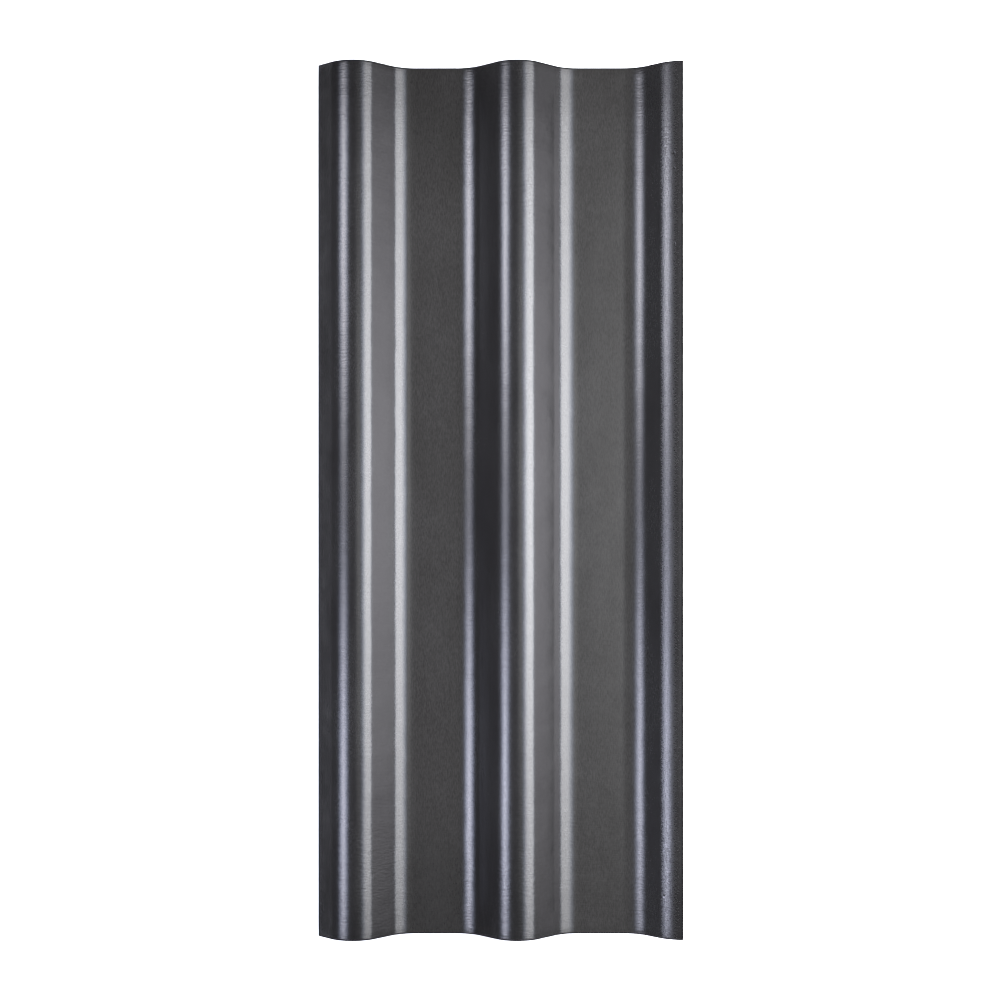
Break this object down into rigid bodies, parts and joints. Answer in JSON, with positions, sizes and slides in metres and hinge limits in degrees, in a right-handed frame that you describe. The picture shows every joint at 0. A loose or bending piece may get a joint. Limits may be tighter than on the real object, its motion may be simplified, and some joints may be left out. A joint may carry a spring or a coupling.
{
  "type": "fiber cement roof tile",
  "caption": "Long, thin roof tile of coated fiber cement, with round-backed waves between broad flat valleys, and a side edge that laps over the next tile's crest.",
  "frame": {"origin": "middle of the sheet, in the plane that the undersides of the valleys lie in", "axes": "+X across the tile, from the lapping edge to the edge that is lapped over; +Y up the roof slope; +Z out of the roof, from the underside to the weather face"},
  "size_m": [0.5, 1.2, 0.047],
  "materials": {
    "coated_fiber_cement": "graphite grey coating with a satin gloss on the weather face and the cut edges; bare mid-grey cement with a felt texture on the underside"
  },
  "bodies": {
    "root": {"roof_tile": "coated_fiber_cement"}
  },
  "joints": []
}
